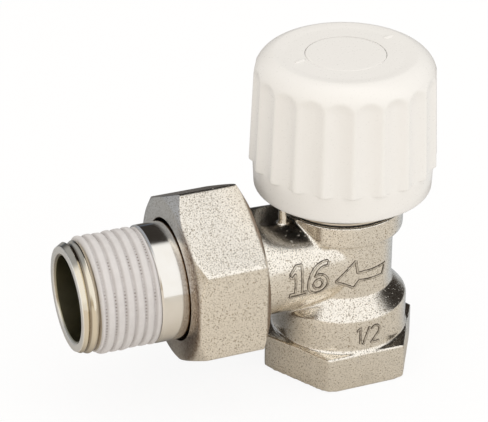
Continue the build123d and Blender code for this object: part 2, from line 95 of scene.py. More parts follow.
def forged_body():
    """The body's solid as a skin of even voxels with its corners relaxed."""
    body = add_object("body_forging", merged_copy("valve_body"))
    skin = body.modifiers.new("forged_skin", "REMESH")
    skin.mode = "VOXEL"
    skin.voxel_size = body_voxel * mm
    graph = bpy.context.evaluated_depsgraph_get()
    mesh = bpy.data.meshes.new_from_object(body.evaluated_get(graph))
    body.modifiers.clear()
    body.data = mesh
    ends = np.empty(2 * len(mesh.edges), np.int32)
    mesh.edges.foreach_get("vertices", ends)
    points = relaxed(corners_of(mesh), ends.reshape(-1, 2), body_passes)
    mesh.vertices.foreach_set("co", (points * mm).ravel())
    mesh.update()
    mesh.materials.clear()
    mesh.shade_smooth()
    return body


class Value:
    """A shader socket in an expression: its operators add Math nodes, and node() adds any other."""

    def __init__(self, tree, socket=None):
        self.tree = tree
        self.socket = socket

    def feed(self, socket, value):
        if isinstance(value, Value):
            self.tree.links.new(value.socket, socket)
        else:
            socket.default_value = value

    def node(self, kind, settings, sockets, output=0):
        made = self.tree.nodes.new(kind)
        for name, setting in settings.items():
            setattr(made, name, setting)
        for name, value in sockets.items():
            self.feed(made.inputs[name], value)
        return Value(self.tree, made.outputs[output])

    def maths(self, operation, *values):
        return self.node("ShaderNodeMath", {"operation": operation}, dict(enumerate(values)))

    def __add__(self, other):
        return self.maths("ADD", self, other)

    def __radd__(self, other):
        return self.maths("ADD", other, self)

    def __sub__(self, other):
        return self.maths("SUBTRACT", self, other)

    def __rsub__(self, other):
        return self.maths("SUBTRACT", other, self)

    def __mul__(self, other):
        return self.maths("MULTIPLY", self, other)

    def __rmul__(self, other):
        return self.maths("MULTIPLY", other, self)

    def of(self, operation):
        return self.maths(operation, self)

    def limited(self):
        return self.node("ShaderNodeClamp", {}, {"Value": self})

    def rising(self, low, high):
        """0 below low, 1 above high and a smooth rise between."""
        sockets = {"Value": self, "From Min": low, "From Max": high}
        return self.node("ShaderNodeMapRange", {"interpolation_type": "SMOOTHSTEP"}, sockets)

    def between(self, first, second):
        """The colour that lies this share of the way from the first to the second."""
        return self.node("ShaderNodeMix", {"data_type": "RGBA"}, {0: self, 6: first, 7: second}, 2)

    def noise(self, scale, detail=2.0, roughness=0.5):
        sockets = {"Vector": self, "Scale": scale, "Detail": detail, "Roughness": roughness}
        return self.node("ShaderNodeTexNoise", {}, sockets)

    def bump(self, strength, distance):
        sockets = {"Height": self, "Strength": strength, "Distance": distance}
        return self.node("ShaderNodeBump", {}, sockets)

    def part(self, axis):
        return self.node("ShaderNodeSeparateXYZ", {}, {0: self}, axis)


def new_finish(name, fixed):
    """A material with its shader's fixed sockets set, the shader's sockets and Object coordinates."""
    made = bpy.data.materials.new(name)
    made.use_nodes = True
    shader = made.node_tree.nodes["Principled BSDF"]
    for socket, value in fixed.items():
        shader.inputs[socket].default_value = value
    place = Value(made.node_tree).node("ShaderNodeTexCoord", {}, {}, "Object")
    return made, shader.inputs, place


def blasted_nickel(name, dust_and_shade):
    """Warm nickel over a shot-blasted skin: a fine mottle, scattered dark pits and soft clouds, under
    the share of dark brown that a function of the place gives: dust on the body, painted shade and brown
    grains on the nut."""
    made, shader, place = new_finish(name, {"Metallic": 1.0})
    clouds = place.noise(170.0, 3.0)
    mottle = place.noise(4700.0, 2.0, 0.6)
    cells = place.node("ShaderNodeTexVoronoi", {}, {"Vector": place, "Scale": 1500.0})
    pits = 1.0 - cells.rising(0.09, 0.24)
    bright = clouds.between((0.95, 0.89, 0.79, 1), (1.0, 0.95, 0.86, 1))
    mottled = mottle.rising(0.50, 0.70).between(bright, (0.34, 0.27, 0.18, 1))
    pitted = (pits * 0.5).between(mottled, (0.16, 0.12, 0.09, 1))
    # The dark brown is dust on the body and, on the nut, painted shade in the hole and at the back.
    place.feed(shader["Base Color"], dust_and_shade(place).between(pitted, (0.13, 0.068, 0.028, 1)))
    place.feed(shader["Roughness"], 0.13 + mottle * 0.12)
    place.feed(shader["Normal"], (1.0 - mottle * 0.28 - pits * 0.8).bump(0.8, 0.00008))
    return made


def body_dust(place):
    """A little dust in patches."""
    return place.noise(260.0, 3.0).rising(0.55, 0.80) * 0.08


body = forged_body()
body.data.materials.append(blasted_nickel("body_nickel", body_dust))
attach(body, "valve_body")
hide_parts("valve_body")

# Marks on the body: a flow arrow on the shank, the thread's size on the collar and a pressure class
# on the arm. The die raises them, and painted shade, near black, runs along their feet.
shank_radius = 9.55
collar_radius = 12.45
arm_root_radius = 9.55
arm_end_radius = 10.1
arm_end = -21.4
mark_width = 0.25
mark_height = 0.14
mark_step = 0.14
bead_columns = 10
class_height = 6.3
size_height = 3.5
collar_top = 15.0
class_one_place = (-14.3, 20.1)
class_six_place = (-10.6, 19.9)
size_one_place = (-1.9, 8.9)
size_slash_place = (-0.6, 8.9)
size_two_place = (1.0, 8.9)


def arc(centre, radii, start, end, count):
    """Points of an ellipse: centre + radii * (cos a, sin a), with a from start to end in degrees."""
    turn = np.radians(np.linspace(start, end, count))
    return np.stack([centre[0] + radii[0] * np.cos(turn), centre[1] + radii[1] * np.sin(turn)], 1)


def spaced(path, step):
    """The same path with points about one step apart, by length along it."""
    along = np.concatenate([[0], np.cumsum(np.linalg.norm(np.diff(path, axis=0), axis=1))])
    at = np.linspace(0, along[-1], int(along[-1] / step) + 2)
    return np.stack([np.interp(at, along, path[:, axis]) for axis in range(path.shape[1])], 1)


def round_upright(radius):
    """A surface round the spindle axis: u is arc length from the front, v height, h height off it."""

    def place(u, v, h):
        return np.stack([(radius + h) * np.sin(u / radius), -(radius + h) * np.cos(u / radius), v], -1)

    return place


def body_front(u, v, h):
    """The body's front, the outer one of shank and arm: u is X, v height, h height off it along -Y."""
    shank = np.sqrt(np.clip(shank_radius**2 - u**2, 0, None))
    radius = arm_root_radius + (arm_end_radius - arm_root_radius) * np.clip(u / arm_end, 0, 1)
    arm = np.sqrt(np.clip(radius**2 - (v - arm_z) ** 2, 0, None)) * (u < 0)
    return np.stack([u, -np.maximum(shank, arm) - h, v], -1)


def bead(path, surface, width, height, step):
    """A rounded line along a path on a surface. At angle a round its section it lies width * cos a
    beside the path and height * sin a off the surface, and both shrink to nothing at round ends."""
    path = spaced(np.array(path, float), step)
    way = np.gradient(path, axis=0)
    way = way / np.linalg.norm(way, axis=1)[:, None]
    along = np.concatenate([[0], np.cumsum(np.linalg.norm(np.diff(path, axis=0), axis=1))])
    to_end = np.minimum(along, along[-1] - along)
    size = np.sqrt(1 - np.clip(1 - to_end / width, 0, 1) ** 2)[:, None]
    turn = np.linspace(0, 2 * np.pi, bead_columns, endpoint=False)[None, :]
    beside = width * size * np.cos(turn)
    return surface(
        path[:, :1] - way[:, 1:] * beside,
        path[:, 1:] + way[:, :1] * beside,
        height * size * np.sin(turn),
    )


def skin(name, grids, loop, crease=35):
    """One mesh from grids of points in millimetres, shaped (along, around, 3). Faces join a point to
    the next along and around; around always closes, and along closes too where loop is set."""
    points = []
    faces = []
    start = 0
    for grid in grids:
        rows, columns = grid.shape[:2]
        here = np.arange(rows if loop else rows - 1)[:, None] * columns
        ahead = (np.arange(1, rows + 1 if loop else rows) % rows)[:, None] * columns
        left = np.arange(columns)[None, :]
        right = (left + 1) % columns
        quads = np.stack([here + left, here + right, ahead + right, ahead + left], -1)
        faces.append(quads.reshape(-1, 4) + start)
        points.append(grid.reshape(-1, 3))
        start += rows * columns
    mesh = bpy.data.meshes.new(name)
    mesh.from_pydata(np.concatenate(points) * mm, [], np.concatenate(faces))
    shell = bmesh.new()
    shell.from_mesh(mesh)
    bmesh.ops.remove_doubles(shell, verts=shell.verts, dist=join_distance)
    bmesh.ops.recalc_face_normals(shell, faces=shell.faces)
    shell.to_mesh(mesh)
    shell.free()
    mesh.shade_smooth()
    mesh.set_sharp_from_angle(angle=np.radians(crease))
    return add_object(name, mesh)


def mark(strokes, corner, height):
    """Strokes drawn in a box of unit height, set at a corner and sized."""
    return [np.array(corner) + height * np.array(stroke, float) for stroke in strokes]


one = [
    [(0.0, 0.74), (0.22, 1.0), (0.40, 1.0), (0.40, 0.11), (0.54, 0.11), (0.54, 0.0), (0.04, 0.0)]
    + [(0.04, 0.11), (0.19, 0.11), (0.19, 0.76), (0.07, 0.64), (0.0, 0.74)]
]
six = [
    np.concatenate(
        [
            arc((0.56, 0.36), (0.56, 0.64), 80, 180, 16),
            arc((0.31, 0.32), (0.31, 0.32), 180, 450, 30),
            arc((0.56, 0.46), (0.36, 0.40), 165, 80, 12),
            [(0.657, 0.99)],
        ]
    ),
    arc((0.31, 0.32), (0.14, 0.16), 0, 360, 22),
]
slim_one = [[(0.0, 0.78), (0.22, 1.0), (0.22, 0.0)]]
slash = [[(0.0, -0.05), (0.36, 1.05)]]
slim_two = [np.concatenate([arc((0.25, 0.72), (0.25, 0.28), 165, -35, 14), [(0.0, 0.0), (0.54, 0.0)]])]
arrow = [
    [(-5.2, 21.5), (-1.15, 25.0), (-0.8, 22.5), (5.3, 22.6)]
    + [(4.7, 20.55), (-0.45, 20.85), (-1.5, 19.4), (-5.2, 21.5)]
]
class_mark = mark(one, class_one_place, class_height) + mark(six, class_six_place, class_height)
size_mark = mark(slim_one, size_one_place, size_height) + mark(slash, size_slash_place, size_height)
size_mark += mark(slim_two, size_two_place, size_height)
collar_front = round_upright(collar_radius)
lines = [bead(path, body_front, mark_width, mark_height, mark_step) for path in arrow + class_mark]
lines += [bead(path, collar_front, mark_width, mark_height, mark_step) for path in size_mark]


def shaded_mark_nickel():
    """Nickel on the raised lines: painted shade, near black, at their feet, and bare nickel on their crests,
    with the edge between broken by noise.
    """
    made, shader, place = new_finish("shaded_mark_nickel", {"Metallic": 1.0})
    crest = place.node("ShaderNodeAttribute", {"attribute_name": "crest"}, {}, "Fac")
    # Painted shade: the lines go dark brown where they meet the body, and bright towards their crests.
    out_of_shade = (crest + place.noise(1500.0, 2.0) * 0.8).rising(1.0, 1.5)
    place.feed(shader["Base Color"], out_of_shade.between((0.10, 0.075, 0.055, 1), (0.82, 0.755, 0.65, 1)))
    place.feed(shader["Roughness"], 0.55 - out_of_shade * 0.2)
    return made


body_marks = skin("body_marks", lines, loop=False, crease=80)
x, y, z = corners_of(body_marks.data).T
off_front = -y + body_front(x, z, 0)[:, 1]
off_collar = np.hypot(x, y) - collar_radius
crest = np.where(z < collar_top, off_collar, off_front) / mark_height
body_marks.data.attributes.new("crest", "FLOAT", "POINT").data.foreach_set("value", crest)
body_marks.data.materials.append(shaded_mark_nickel())
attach(body_marks, "valve_body")


# Headwork: a turned brass bonnet on a fibre gasket, with the spindle, its plug, washers and clip.
# Only the bonnet's flange shows, as a strip under the handwheel.
def turned_metal(name, dull, bright):
    """A turned metal between two tones, with the fine rings that a lathe leaves along the spindle axis."""
    made, shader, place = new_finish(name, {"Metallic": 1.0})
    rings = (place.part("Z") * 9000.0).of("SINE")
    stain = place.noise(500.0, 3.0)
    place.feed(shader["Base Color"], stain.between(dull, bright))
    place.feed(shader["Roughness"], 0.24 + stain * 0.16)
    place.feed(shader["Normal"], rings.bump(0.2, 0.00003))
    return made


def zinc_steel():
    """Zinc-plated steel: cool grey with small cloudy crystals."""
    made, shader, place = new_finish("zinc_steel", {"Metallic": 1.0})
    cloud = place.noise(1500.0, 3.0)
    place.feed(shader["Base Color"], cloud.between((0.50, 0.50, 0.49, 1), (0.66, 0.66, 0.64, 1)))
    place.feed(shader["Roughness"], 0.28 + cloud * 0.2)
    return made


def seal_rubber():
    """Black sealing rubber and fibre with a dull, slightly uneven skin."""
    made, shader, place = new_finish("seal_rubber", {"Specular IOR Level": 0.3})
    skin_noise = place.noise(3000.0, 2.0)
    place.feed(shader["Base Color"], skin_noise.between((0.018, 0.016, 0.015, 1), (0.04, 0.037, 0.034, 1)))
    place.feed(shader["Roughness"], 0.6 + skin_noise * 0.25)
    place.feed(shader["Normal"], skin_noise.bump(0.3, 0.00004))
    return made


def dress(material, *nodes):
    """Gives CAD nodes, which keep their own meshes, a material."""
    for node in nodes:
        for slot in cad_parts[node].material_slots:
            slot.material = material


brass = turned_metal("turned_brass", (0.72, 0.55, 0.30, 1), (0.82, 0.68, 0.42, 1))
nickel = turned_metal("turned_nickel", (0.78, 0.71, 0.60, 1), (0.88, 0.82, 0.72, 1))
rubber = seal_rubber()
dress(brass, "spindle", "plug", "disc_screw")
dress(nickel, "bonnet")
dress(zinc_steel(), "thrust_washer", "spindle_clip", "disc_washer", "wheel_washer", "wheel_screw")
dress(rubber, "bonnet_gasket", "disc_seal", "union_gasket")
dress(rubber, "spindle_o_ring_lower", "spindle_o_ring_upper")

# Handwheel: one ivory plastic moulding with a plain skirt, a grip of 20 ball-ended flutes, a domed
# shoulder and a shallow dish on top. Inside are a hub with a square socket and six ribs.
wheel_low, wheel_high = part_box("handwheel")
wheel_foot = wheel_low.z / mm
wheel_top = wheel_high.z / mm
skirt_radius = 16.4
skirt_foot_radius = 16.2
skirt_root = 0.3
skirt_edge = (0.9, 0.7)
flute_foot = wheel_foot + 5.3
ridge_radius = 17.1
ridge_radius_top = 16.35
shoulder_height = wheel_top - 4.05
shoulder_width = 3.65
dish_radius = 11.4
dish_depth = 0.25
dish_lip = 0.22
dish_floor = wheel_top - dish_depth
flute_count = 20
flute_radius = 4.6
flute_depth = 0.75
flute_end = shoulder_height - 0.45
flute_angle = 9.0
foot_round = 0.3
ridge_round = 0.32
columns_per_flute = 32
cap_recess_radius = 7.3
cap_seat = dish_floor - 1.1
well_radius = 4.6
well_foot = cap_seat - 3.3
screw_hole_radius = 1.5
hub_radius = 6.0
hub_inside = 5.2
hub_foot = wheel_foot + 13.7
socket_top = well_foot - 1.4
socket_half = 2.35
crown_under = wheel_top - 3.0
rim_inside = 14.2
wall_inside = 13.4
crown_inside = 12.7
painted_shade_radius = 15.0
rib_half = 0.6
rib_sink = 0.2
rib_depth = 6.0
rib_start = 5.9
rib_end = 13.1


def tangent_arc(start, way, end, count):
    """The circle that leaves start along way and reaches end. Its radius is chord squared over twice
    the chord's share along the normal, and the angle runs from the first spoke to the last."""
    start, way, end = (np.array(p, float) for p in (start, way, end))
    chord = end - start
    normal = np.array([-way[1], way[0]]) / np.linalg.norm(way)
    radius = chord @ chord / (2 * chord @ normal)
    centre = start + normal * radius
    first = np.degrees(np.arctan2(*(start - centre)[::-1]))
    turn = np.degrees(np.arctan2(*(end - centre)[::-1])) - first
    turn = (turn + 180) % 360 - 180
    return arc(centre, (abs(radius), abs(radius)), first, first + turn, count)


def run(start, end, count):
    """Evenly spaced points of a straight run, both ends included."""
    return np.linspace(start, end, count)


def smooth_least(first, second, width):
    """The lesser of two values, with the corner between them rounded over a width."""
    share = np.clip(0.5 + (second - first) / (2 * width), 0, 1)
    return second + (first - second) * share - width * share * (1 - share)


def fluted(radius, height, angle):
    """Radius of the grip. A flute is a round bar at distance d from the axis, cut at angle p from its
    middle to d cos p - sqrt(b b - d d sin p sin p); past its end the bar's radius b shrinks as a ball."""
    pitch = 2 * np.pi / flute_count
    from_middle = (angle - np.radians(flute_angle) + pitch / 2) % pitch - pitch / 2
    lean = (ridge_radius_top - ridge_radius) / (shoulder_height - flute_foot)
    ridge = ridge_radius + lean * (np.minimum(height, flute_end) - flute_foot)
    distance = ridge - flute_depth + flute_radius
    bar = np.sqrt(np.clip(flute_radius**2 - np.maximum(height - flute_end, 0) ** 2, 0, None))
    inside = bar**2 - (distance * np.sin(from_middle)) ** 2
    cut = distance * np.cos(from_middle) - np.sqrt(np.clip(inside, 0, None))
    cut = np.where(inside > 0, cut, ridge_radius * 2)
    return smooth_least(radius, cut, ridge_round)


def handwheel_surface():
    """A closed profile of radius and height, turned round the axis; the grip's radius is fluted and
    the socket's is square, half its width over the larger of |cos a| and |sin a|."""
    lean = (ridge_radius_top - ridge_radius, shoulder_height - flute_foot)
    dome = tangent_arc(
        (ridge_radius_top, shoulder_height), lean, (ridge_radius_top - shoulder_width, wheel_top), 26
    )
    plain_top = [
        run((screw_hole_radius, well_foot), (well_radius, well_foot), 2),
        run((well_radius, cap_seat), (cap_recess_radius, cap_seat), 2),
        run((cap_recess_radius, dish_floor), (dish_radius - dish_lip, dish_floor), 6),
    ]
    grip = [
        dome[::-1],
        run((ridge_radius_top, shoulder_height), (ridge_radius, flute_foot + foot_round), 36)[1:],
        arc((ridge_radius - foot_round, flute_foot + foot_round), (foot_round, foot_round), 0, -90, 7)[1:],
    ]
    below = [
        arc((skirt_radius + skirt_root, flute_foot - skirt_root), (skirt_root, skirt_root), 90, 180, 5),
        run((skirt_radius, flute_foot - 0.5), (skirt_foot_radius, wheel_foot + 0.8), 8),
        arc((skirt_foot_radius - skirt_edge[0], wheel_foot + skirt_edge[1]), skirt_edge, 0, -90, 8),
        run((rim_inside, wheel_foot), (wall_inside, shoulder_height - 3), 8),
        run((crown_inside, crown_under), (hub_radius, crown_under), 4),
        run((hub_radius, hub_foot), (hub_inside, hub_foot), 2),
    ]
    socket = [run((socket_half, hub_foot), (socket_half, socket_top), 3)]
    hole = [run((screw_hole_radius, socket_top), (screw_hole_radius, well_foot - 0.2), 2)]
    stretches = (plain_top, grip, below, socket, hole)
    profile = np.concatenate([np.concatenate(s) for s in stretches])
    kind = np.concatenate([np.full(len(np.concatenate(s)), i) for i, s in enumerate(stretches)])[:, None]
    in_grip = kind == 1
    in_socket = kind == 3
    angle = np.linspace(0, 2 * np.pi, flute_count * columns_per_flute, endpoint=False)[None, :]
    radius, height = profile[:, :1], profile[:, 1:]
    at_foot = height < flute_foot + foot_round + 0.01
    inset = np.clip(ridge_radius - radius, 0, None) * at_foot
    wavy = fluted(radius + inset, height, angle) - inset
    wavy = np.where(at_foot, np.maximum(wavy, skirt_radius), wavy)
    foot = wavy[in_grip[:, 0]][-1:]
    square = radius / np.maximum(np.abs(np.cos(angle)), np.abs(np.sin(angle)))
    radius = np.where(in_grip, wavy, np.where(in_socket, square, np.minimum(radius, foot)))
    return np.stack([radius * np.cos(angle), radius * np.sin(angle), height + 0 * angle], -1)


def rib_surface(angle):
    """A flat bar under the crown: a four-cornered section carried outwards and closed at both ends."""
    across = rib_half * np.array([-1, 1, 1, -1])
    height = np.array([rib_sink, rib_sink, -rib_depth, -rib_depth])
    open_share = np.array([0, 1, 1, 0])[:, None]
    side = across * open_share
    up = crown_under - rib_depth / 2 + (height + rib_depth / 2) * open_share
    out = np.array([rib_start, rib_start, rib_end, rib_end])[:, None] + 0 * side
    return np.stack(
        [out * np.cos(angle) - side * np.sin(angle), out * np.sin(angle) + side * np.cos(angle), up], -1
    )


def ivory_plastic():
    """Ivory moulded plastic, satin, with a faint orange-peel skin and slight warmth in its tone; inside the
    skirt, under the crown, painted shade turns it near black.
    """
    made, shader, place = new_finish("ivory_plastic", {"Specular IOR Level": 0.45})
    tone = place.noise(90.0, 2.0)
    peel = place.noise(2600.0, 2.0)
    x, y, z = (place.part(axis) for axis in "XYZ")
    # Painted shade: inside the skirt and under the crown the ivory turns near black.
    inner = 1.0 - (x * x + y * y).of("SQRT").rising(painted_shade_radius * mm, (painted_shade_radius + 0.4) * mm)
    inner = inner * (1.0 - z.rising(crown_under * mm, (crown_under + 0.8) * mm))
    white = tone.between((0.855, 0.845, 0.82, 1), (0.88, 0.87, 0.848, 1))
    place.feed(shader["Base Color"], inner.between(white, (0.12, 0.11, 0.10, 1)))
    place.feed(shader["Roughness"], 0.24 + peel * 0.1)
    place.feed(shader["Normal"], peel.bump(0.12, 0.00003))
    return made


ivory = ivory_plastic()
handwheel = skin("handwheel_moulding", [handwheel_surface()], loop=True)
ribs = skin("handwheel_ribs", [rib_surface(a) for a in np.radians(np.arange(0, 360, 60))], loop=False)
for piece in (handwheel, ribs):
    piece.data.materials.append(ivory)
    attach(piece, "handwheel")
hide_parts("handwheel")

# Cap: a thin ivory disc that snaps into the handwheel's top over its screw, with a slight crown and
# a rounded rim. Two raised bars on the dish beside it show how far the wheel is turned.
cap_low, cap_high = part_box("cap_disc")
cap_radius = cap_high.x / mm
cap_top = cap_high.z / mm
cap_rim = 0.16
cap_foot = cap_low.z / mm
cap_ring_outer = 4.52
cap_ring_inner = 3.72
bar_width = 0.5
bar_height = 0.22
bar_step = 0.1


def turned(profile, columns):
    """A profile of radius and height carried round the spindle axis."""
    angle = np.linspace(0, 2 * np.pi, columns, endpoint=False)[None, :]
    radius, height = profile[:, :1], profile[:, 1:]
    return np.stack([radius * np.cos(angle), radius * np.sin(angle), height + 0 * angle], -1)


cap_profile = np.concatenate(
    [
        run((0, cap_top), (cap_radius - cap_rim, cap_top), 12),
        arc((cap_radius - cap_rim, cap_top - cap_rim), (cap_rim, cap_rim), 90, 0, 7)[1:],
        run((cap_radius, cap_seat), (cap_ring_outer, cap_seat), 2),
        run((cap_ring_outer, cap_foot), (cap_ring_inner, cap_foot), 2),
        run((cap_ring_inner, cap_seat), (0, cap_seat), 3),
    ]
)
cap = skin("cap_cover", [turned(cap_profile, 160)], loop=False)
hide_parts("cap_disc")


def dish(u, v, h):
    """The dish's floor: u and v are X and Y, h height off it."""
    return np.stack([u, v, dish_floor + h], -1)


bars = [[(-9.9, -0.5), (-7.7, 0.4)], [(9.0, 3.5), (10.9, 4.0)]]
bar_grids = [bead(bar, dish, bar_width, bar_height, bar_step) for bar in bars]
index_bars = skin("index_bars", bar_grids, loop=False, crease=80)
for piece in (cap, index_bars):
    piece.data.materials.append(ivory)
    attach(piece, "handwheel")

# Tailpiece: a brass tube turned on a lathe and plated bright, with a collar inside the nut, a plain
# shank and a half-inch pipe thread whose first turns stay bare.
tail_low, tail_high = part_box("tailpiece")
seal_low, seal_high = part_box("thread_sealant")
tail_end = tail_low.x / mm
collar_face = tail_high.x / mm
collar_edge_x = collar_face - 1.8
sealant_end = seal_low.x / mm
sealant_start = seal_high.x / mm
collar_outer = 12.4
collar_break = 0.2
shank_r = 10.8
shank_root = 0.3
shank_break = 0.3
thread_root = 9.6
bare_crest = 10.15
tip_r = 9.5
tip_length = 1.2
pitch = 1.814
bore = 7.8
bore_break = 0.5
thread_under = 0.4
thread_rows = 110
tail_columns = 288


def along_arm(x, radius, angle):
    """Points at a radius and an angle round the arm axis, the angle counted from -Y upwards."""
    return np.stack([x + 0 * radius, -radius * np.cos(angle), arm_z + radius * np.sin(angle)], -1)


def tail_surface():
    """A closed profile along the arm axis. On the bare thread the radius swings between root and crest
    as a smooth wave of x / pitch + angle / turn, which winds right-handed, and runs out at the tip."""
    angle = np.linspace(0, 2 * np.pi, tail_columns, endpoint=False)[None, :]
    thread_x = np.linspace(sealant_end + thread_under, tail_end, thread_rows)
    collar_side = collar_outer - collar_break
    profile = np.concatenate(
        [
            run((collar_face, bore), (collar_face, collar_side), 2),
            run((collar_face - collar_break, collar_outer), (collar_edge_x + collar_break, collar_outer), 2),
            run((collar_edge_x, collar_side), (collar_edge_x, shank_r + shank_root), 2),
            arc((collar_edge_x - shank_root, shank_r + shank_root), (shank_root, shank_root), 0, -90, 6),
            run((collar_edge_x - 2 * shank_root, shank_r), (sealant_start + shank_break, shank_r), 14),
            run((sealant_start, shank_r - shank_break), (sealant_start, thread_root), 2),
            np.stack([thread_x, np.full(thread_rows, thread_root)], 1),
            run((tail_end, bore + bore_break), (tail_end + bore_break, bore), 4),
            run((tail_end + 6, bore), (collar_face - 6, bore), 4),
        ]
    )
    x, radius = profile[:, :1], profile[:, 1:]
    wave = 0.5 + 0.5 * np.cos(2 * np.pi * (x / pitch - angle / (2 * np.pi)))
    crest = thread_root + (bare_crest - thread_root) * wave**0.8
    taper = np.clip((tail_end + tip_length - x) / tip_length, 0, 1)
    crest = np.minimum(crest, bare_crest - (bare_crest - tip_r) * taper)
    threaded = (x < sealant_end + thread_under + 0.01) & (radius == thread_root)
    radius = np.where(threaded, crest, radius + 0 * angle)
    return along_arm(x + 0 * angle, radius, angle)


def bright_nickel():
    """Bright nickel on a turned tube: nearly a mirror, with faint lathe rings and small smears, and painted
    shade, dark brown, in the bare thread's grooves.
    """
    made, shader, place = new_finish("bright_nickel", {"Metallic": 1.0})
    x, y, z = (place.part(axis) for axis in "XYZ")
    up = z - arm_z * mm
    radius = (y * y + up * up).of("SQRT")
    bored = 1.0 - radius.rising((bore + 0.05) * mm, (bore + 0.3) * mm)
    phase = x * (1 / (pitch * mm)) - place.maths("ARCTAN2", up, y * -1.0) * (1 / (2 * np.pi))
    groove = 1.0 - (phase * (2 * np.pi)).of("COSINE").rising(-0.95, -0.3)
    bare = 1.0 - x.rising(sealant_end * mm, (sealant_end + 0.5) * mm)
    faced = 1.0 - x.rising((tail_end + 0.05) * mm, (tail_end + 0.25) * mm)
    smear = place.noise(420.0, 3.0)
    rings = x.noise(5000.0, 2.0)
    plate = smear.between((0.89, 0.85, 0.78, 1), (0.95, 0.925, 0.88, 1))
    # Painted shade: the bare thread's grooves turn dark brown.
    shaded_grooves = (groove * 0.75).between((0.84, 0.77, 0.63, 1), (0.20, 0.15, 0.10, 1))
    plate = (bare * (1.0 - bored)).between(plate, shaded_grooves)
    plate = bored.between(plate, (0.34, 0.31, 0.20, 1))
    place.feed(shader["Base Color"], faced.between(plate, (0.96, 0.93, 0.87, 1)))
    place.feed(shader["Roughness"], 0.07 + smear * 0.09 + bored * 0.2 + faced * 0.5)
    place.feed(shader["Normal"], rings.bump(0.08, 0.00002))
    return made


tail = skin("tail_tube", [tail_surface()], loop=True, crease=40)
tail.data.materials.append(bright_nickel())
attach(tail, "tailpiece")
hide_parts("tailpiece")

# Sealant: a pale plastic coat put on the tail's thread at the works. It fills the thread and shows
# its turns as soft ridges, with a broken row of pores along each groove.
sealant_crest = seal_high.z / mm - arm_z
groove_depth = 0.40
coat_rise = 0.25
end_roll = 0.45
end_roll_length = 0.5
sealant_rows = 150
sealant_columns = 360


def sealant_surface():
    """A closed ring along the arm axis. Its outer radius follows the thread: crest less the groove's
    depth times a narrow wave of x / pitch - angle / turn, with slow swells, and rolls in at both ends."""
    angle = np.linspace(0, 2 * np.pi, sealant_columns, endpoint=False)[None, :]
    x = np.linspace(sealant_end, sealant_start, sealant_rows)[:, None]
    wave = 0.5 + 0.5 * np.cos(2 * np.pi * (x / pitch - angle / (2 * np.pi)))
    swell = 0.05 * np.sin(3 * angle + x) + 0.04 * np.sin(7 * angle - 2 * x)
    outer = sealant_crest + coat_rise - groove_depth * wave**3 + swell
    from_end = np.minimum(x - sealant_end, sealant_start - x)
    outer = outer - end_roll * np.clip(1 - from_end / end_roll_length, 0, 1) ** 2
    inner = np.full((2, 1), thread_root - 0.05)
    inner_x = np.array([[sealant_start], [sealant_end]])
    return np.concatenate(
        [along_arm(x + 0 * angle, outer, angle), along_arm(inner_x + 0 * angle, inner + 0 * angle, angle)]
    )


def sealant_coat():
    """Matt pale grey plastic, a little pink, with dark pores dotted along the thread's grooves and painted
    shade darkening the grooves.
    """
    made, shader, place = new_finish("sealant_coat", {"Specular IOR Level": 0.35})
    x, y, z = (place.part(axis) for axis in "XYZ")
    turn = place.maths("ARCTAN2", z - arm_z * mm, y * -1.0)
    phase = x * (1 / (pitch * mm)) - turn * (1 / (2 * np.pi))
    depth = (phase * (2 * np.pi)).of("COSINE")
    groove = depth.rising(0.80, 0.98)
    dots = (turn * 104.0).of("SINE").rising(0.0, 0.8)
    patchy = place.noise(260.0, 2.0).rising(0.42, 0.60)
    pores = (groove * dots * patchy).limited()
    tone = place.noise(700.0, 3.0)
    paste = tone.between((0.615, 0.592, 0.588, 1), (0.725, 0.708, 0.704, 1))
    # Painted shade: the paste darkens towards the bottom of each groove.
    paste = (depth.rising(-0.2, 1.0) * 0.34).between(paste, (0.34, 0.31, 0.295, 1))
    place.feed(shader["Base Color"], (pores * 0.7).between(paste, (0.16, 0.12, 0.10, 1)))
    place.feed(shader["Roughness"], 0.5 + tone * 0.25)
    place.feed(shader["Normal"], (tone * 0.5 - pores).bump(0.35, 0.00012))
    return made


sealant = skin("sealant_ridges", [sealant_surface()], loop=True, crease=60)
sealant.data.materials.append(sealant_coat())
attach(sealant, "tailpiece")
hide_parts("thread_sealant")

# Union nut: a hexagon forged like the body, its end corners turned to a cone. Its lip pulls the
# tailpiece's collar and gasket against the body.
nut_start = nut_low.x / mm
nut_end = nut_high.x / mm
nut_apothem = 15.0
nut_hole = shank_r + 0.45
nut_hole_break = 0.2
nut_lip = 2.4
nut_bore = 13.28
nut_cone_radius = nut_apothem - 0.25
nut_front_cone = 1.95
nut_back_cone = 1.3
nut_angle = 2.0
nut_corner = nut_apothem / np.cos(np.pi / 6)
nut_corner_cut = 0.12
nut_corner_round = 0.2
nut_edge_round = 0.22
nut_end_break = 0.25
nut_end_break_length = 0.3
nut_mouth = 0.5
nut_rows = 110
nut_columns = 432


